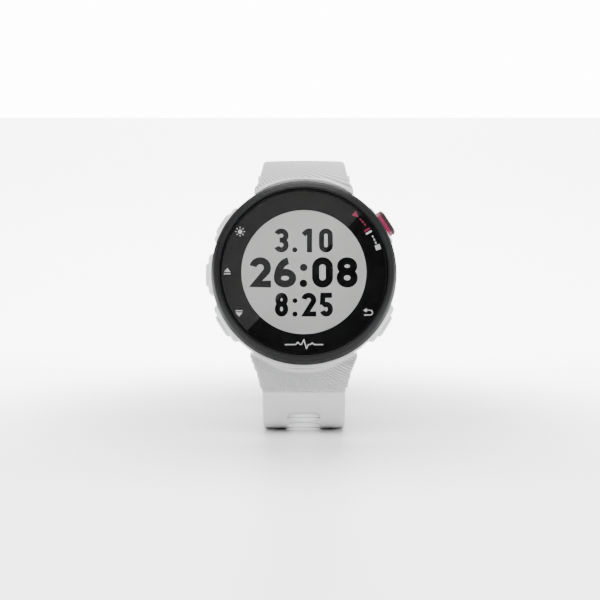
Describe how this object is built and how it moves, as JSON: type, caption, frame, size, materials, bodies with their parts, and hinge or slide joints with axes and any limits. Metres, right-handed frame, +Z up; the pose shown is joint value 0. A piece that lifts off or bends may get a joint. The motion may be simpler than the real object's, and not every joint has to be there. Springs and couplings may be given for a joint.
{
  "type": "wristwatch",
  "caption": "Round GPS running watch with side buttons, standing upright on its buckled silicone band.",
  "frame": {"origin": "centre of the flat length of the lower strap that the watch stands on, in the mid-plane of the case", "axes": "+Z up; the dial looks along -Y and leans back 14 degrees; +X towards 3 o'clock"},
  "size_m": [0.0408, 0.0625, 0.0578],
  "materials": {
    "bezel_polymer": "satin",
    "lens": "polished",
    "mask_ink": "matt printed",
    "adhesive": "matt",
    "display_film": "satin reflective",
    "backlight_film": "satin",
    "tray_polymer": "matt",
    "ribbon_polyimide": "glossy",
    "antenna_metal": "plain",
    "case_polymer": "satin",
    "board_mask": "satin",
    "shield_metal": "plain",
    "chip_resin": "matt",
    "cell_foil": "satin",
    "nickel": "plain",
    "brass_insert": "knurled",
    "gold_contact": "plated",
    "switch_resin": "satin",
    "cover_polymer": "satin",
    "seal_rubber": "matt",
    "stainless": "satin",
    "sensor_tint": "polished",
    "light_resin": "clear",
    "receiver_resin": "glossy",
    "baffle_polymer": "matt",
    "button_white": "satin",
    "button_red": "satin",
    "strap_silicone": "matt",
    "buckle_polymer": "satin"
  },
  "bodies": {
    "case": {"back_cover": "cover_polymer", "back_screws": "stainless", "back_seal": "seal_rubber", "battery": "cell_foil", "battery_tab": "nickel", "bezel": "bezel_polymer", "board_chips": "chip_resin", "board_shield": "shield_metal", "buzzer": "brass_insert", "case_body": "case_polymer", "charge_contacts": "gold_contact", "display_backlight": "backlight_film", "display_panel": "display_film", "display_ribbon_cable": "ribbon_polyimide", "display_tray": "tray_polymer", "gps_antenna": "antenna_metal", "lens_adhesive": "adhesive", "lens_glass": "lens", "lens_mask": "mask_ink", "main_board": "board_mask", "screw_inserts": "brass_insert", "sensor_baffle": "baffle_polymer", "sensor_board": "board_mask", "sensor_lights": "light_resin", "sensor_receiver": "receiver_resin", "sensor_window": "sensor_tint", "spring_bar_lower": "stainless", "spring_bar_upper": "stainless", "switch_flex": "ribbon_polyimide", "tact_switches": "switch_resin", "vibration_motor": "shield_metal"},
    "upper_run": {"strap_short_arch": "strap_silicone"},
    "clasp": {"strap_short_end": "strap_silicone", "strap_long_tail": "strap_silicone"},
    "lower_run": {"strap_long_run": "strap_silicone"},
    "keeper": {"strap_keeper": "strap_silicone"},
    "buckle": {"buckle_frame": "buckle_polymer", "buckle_pin": "stainless"},
    "tongue": {"buckle_tongue": "buckle_polymer"},
    "upper_release": {"release_lever_upper": "stainless"},
    "lower_release": {"release_lever_lower": "stainless"},
    "start": {"start_button": "button_red", "start_button_seal": "seal_rubber", "start_button_clip": "stainless"},
    "light": {"light_button": "button_white", "light_button_seal": "seal_rubber", "light_button_clip": "stainless"},
    "up": {"up_button": "button_white", "up_button_seal": "seal_rubber", "up_button_clip": "stainless"},
    "down": {"down_button": "button_white", "down_button_seal": "seal_rubber", "down_button_clip": "stainless"},
    "back": {"back_button": "button_white", "back_button_seal": "seal_rubber", "back_button_clip": "stainless"}
  },
  "joints": [
    {"name": "strap_rock", "type": "hinge", "parent": "case", "child": "lower_run", "pos_m": [0, -0.01592, 0.01359], "axis": [1, 0, 0], "range_deg": [-3.5, 3.5], "stiffness_Nm_per_rad": 0.5},
    {"name": "lower_bend", "type": "hinge", "parent": "lower_run", "child": "clasp", "pos_m": [0, 0.02493, 0.00175], "axis": [1, 0, 0], "range_deg": [-3.5, 3.5], "stiffness_Nm_per_rad": 0.5},
    {"name": "upper_bend", "type": "hinge", "parent": "clasp", "child": "upper_run", "pos_m": [0, 0.03489, 0.04173], "axis": [1, 0, 0], "range_deg": [-3.5, 3.5], "stiffness_Nm_per_rad": 0.5},
    {"name": "keeper_slide", "type": "slide", "parent": "clasp", "child": "keeper", "axis": [0, 0.2419, 0.9703], "range_m": [-0.002, 0.003]},
    {"name": "buckle_pivot", "type": "hinge", "parent": "clasp", "child": "buckle", "pos_m": [0, 0.0312, 0.01843], "axis": [1, 0, 0], "range_deg": [0, 6]},
    {"name": "tongue_pivot", "type": "hinge", "parent": "buckle", "child": "tongue", "pos_m": [0, 0.0312, 0.01843], "axis": [1, 0, 0], "range_deg": [0, 6]},
    {"name": "upper_release_slide", "type": "slide", "parent": "case", "child": "upper_release", "axis": [-1, 0, 0], "range_m": [0, 0.0013], "stiffness_N_per_m": 800},
    {"name": "lower_release_slide", "type": "slide", "parent": "case", "child": "lower_release", "axis": [-1, 0, 0], "range_m": [0, 0.0013], "stiffness_N_per_m": 800},
    {"name": "start_press", "type": "slide", "parent": "case", "child": "start", "axis": [-0.8434, -0.13, -0.5213], "range_m": [0, 0.0004], "stiffness_N_per_m": 2500},
    {"name": "light_press", "type": "slide", "parent": "case", "child": "light", "axis": [0.8434, -0.13, -0.5213], "range_m": [0, 0.0004], "stiffness_N_per_m": 2500},
    {"name": "up_press", "type": "slide", "parent": "case", "child": "up", "axis": [1, 0, 0], "range_m": [0, 0.0004], "stiffness_N_per_m": 2500},
    {"name": "down_press", "type": "slide", "parent": "case", "child": "down", "axis": [0.8434, 0.13, 0.5213], "range_m": [0, 0.0004], "stiffness_N_per_m": 2500},
    {"name": "back_press", "type": "slide", "parent": "case", "child": "back", "axis": [-0.8434, 0.13, 0.5213], "range_m": [0, 0.0004], "stiffness_N_per_m": 2500}
  ],
  "couplings": [
    {"joint": "lower_bend", "follows": "strap_rock", "ratio": -1},
    {"joint": "upper_bend", "follows": "strap_rock", "ratio": 1}
  ]
}
